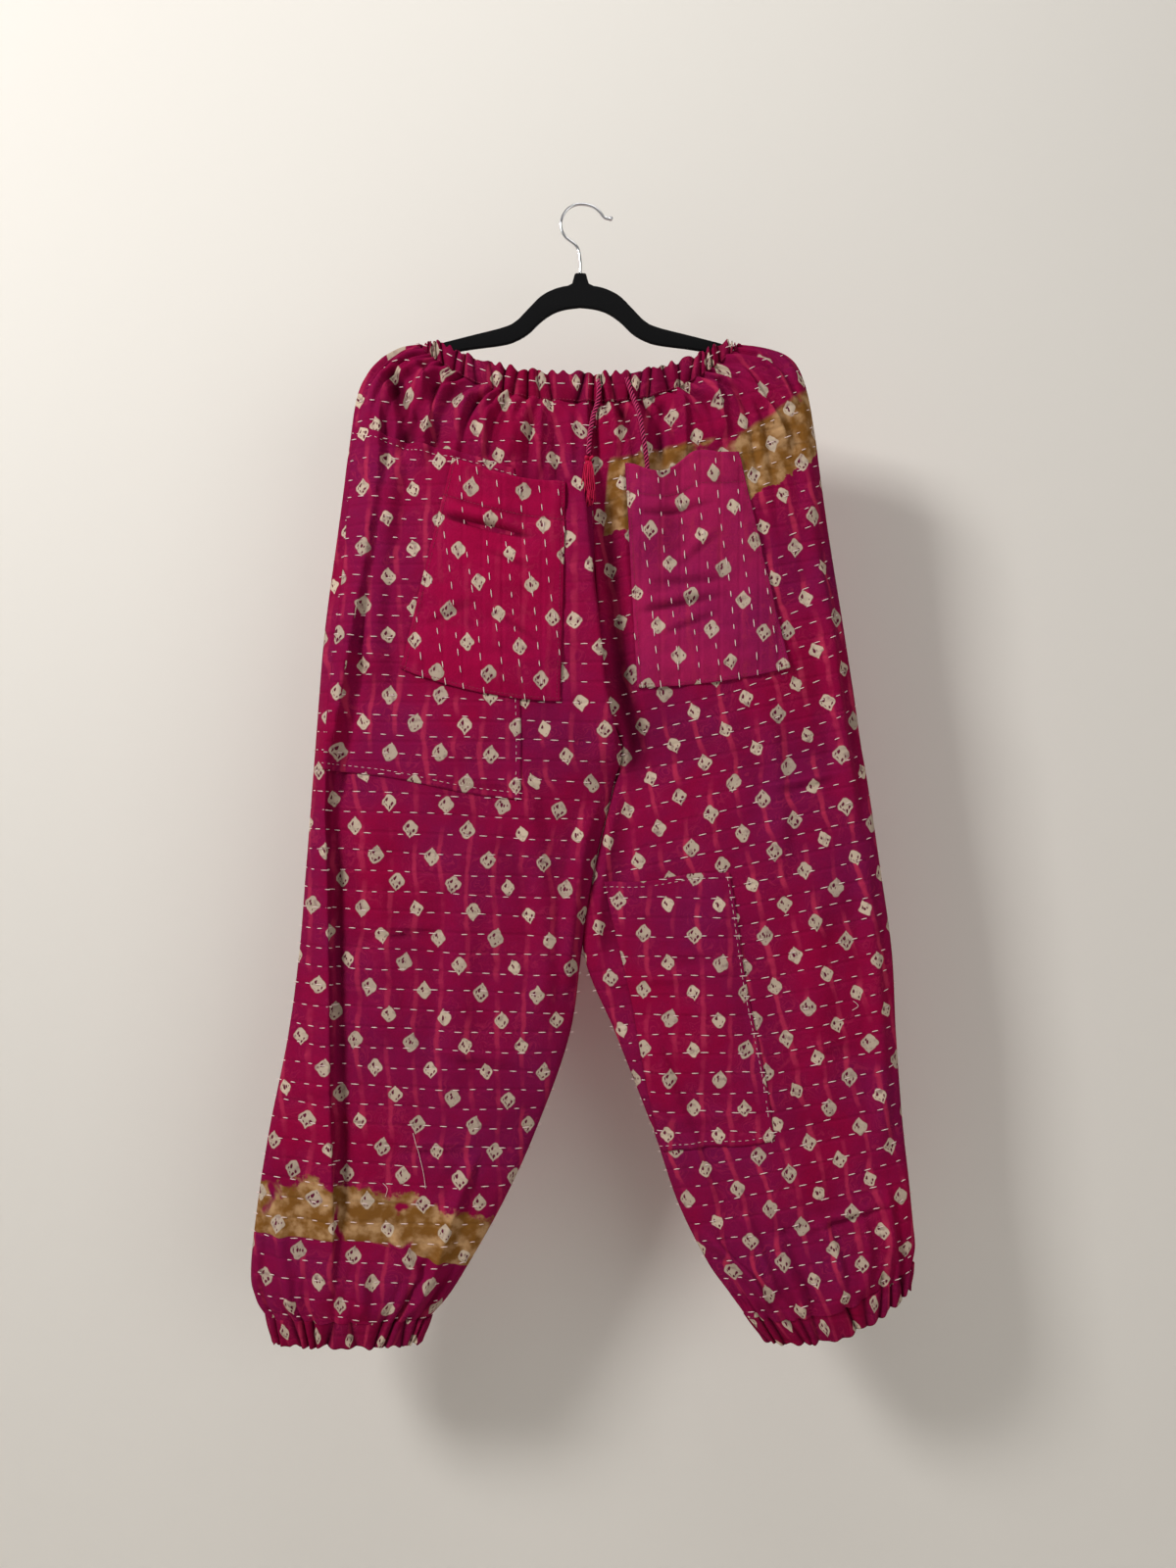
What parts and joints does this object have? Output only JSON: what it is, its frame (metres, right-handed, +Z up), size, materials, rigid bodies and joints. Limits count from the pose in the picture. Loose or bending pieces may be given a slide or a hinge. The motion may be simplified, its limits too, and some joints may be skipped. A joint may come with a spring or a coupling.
{
  "type": "joggers on a clothes hanger",
  "caption": "Gathered quilted-cotton joggers with a drawstring waist, patch pockets and elastic ankles, hung by the waist on a slim clothes hanger.",
  "frame": {"origin": "under the crown of the hanger's hook, where a rail or peg holds it", "axes": "+Z up along the garment's length, front faces -Y, +X towards the wearer's left"},
  "size_m": [0.638, 0.0975, 1.0989],
  "materials": {
    "cloth": "soft quilted cotton, magenta with cream resist-dyed lozenges and running stitch",
    "casing": "the same cloth, gathered on elastic",
    "pocket": "the same cloth, more crimson",
    "patch": "the same cloth, a mend",
    "cord": "twisted cotton",
    "tassel": "loose cotton strands",
    "nap": "short black nap on plastic",
    "chrome": "bright bent wire"
  },
  "bodies": {
    "root": {"leg_front_right": "cloth", "leg_front_left": "cloth", "leg_back_right": "cloth", "leg_back_left": "cloth", "waistband_front": "casing", "waistband_back": "casing", "cuff_right": "casing", "cuff_left": "casing", "pocket_right": "pocket", "pocket_left": "pocket", "patch_side_right": "patch", "patch_knee_left": "patch", "drawstring_cord_right": "cord", "drawstring_cord_left": "cord", "tassel_right": "tassel", "tassel_left": "tassel", "hanger_body": "nap", "hanger_hook": "chrome"}
  },
  "joints": []
}
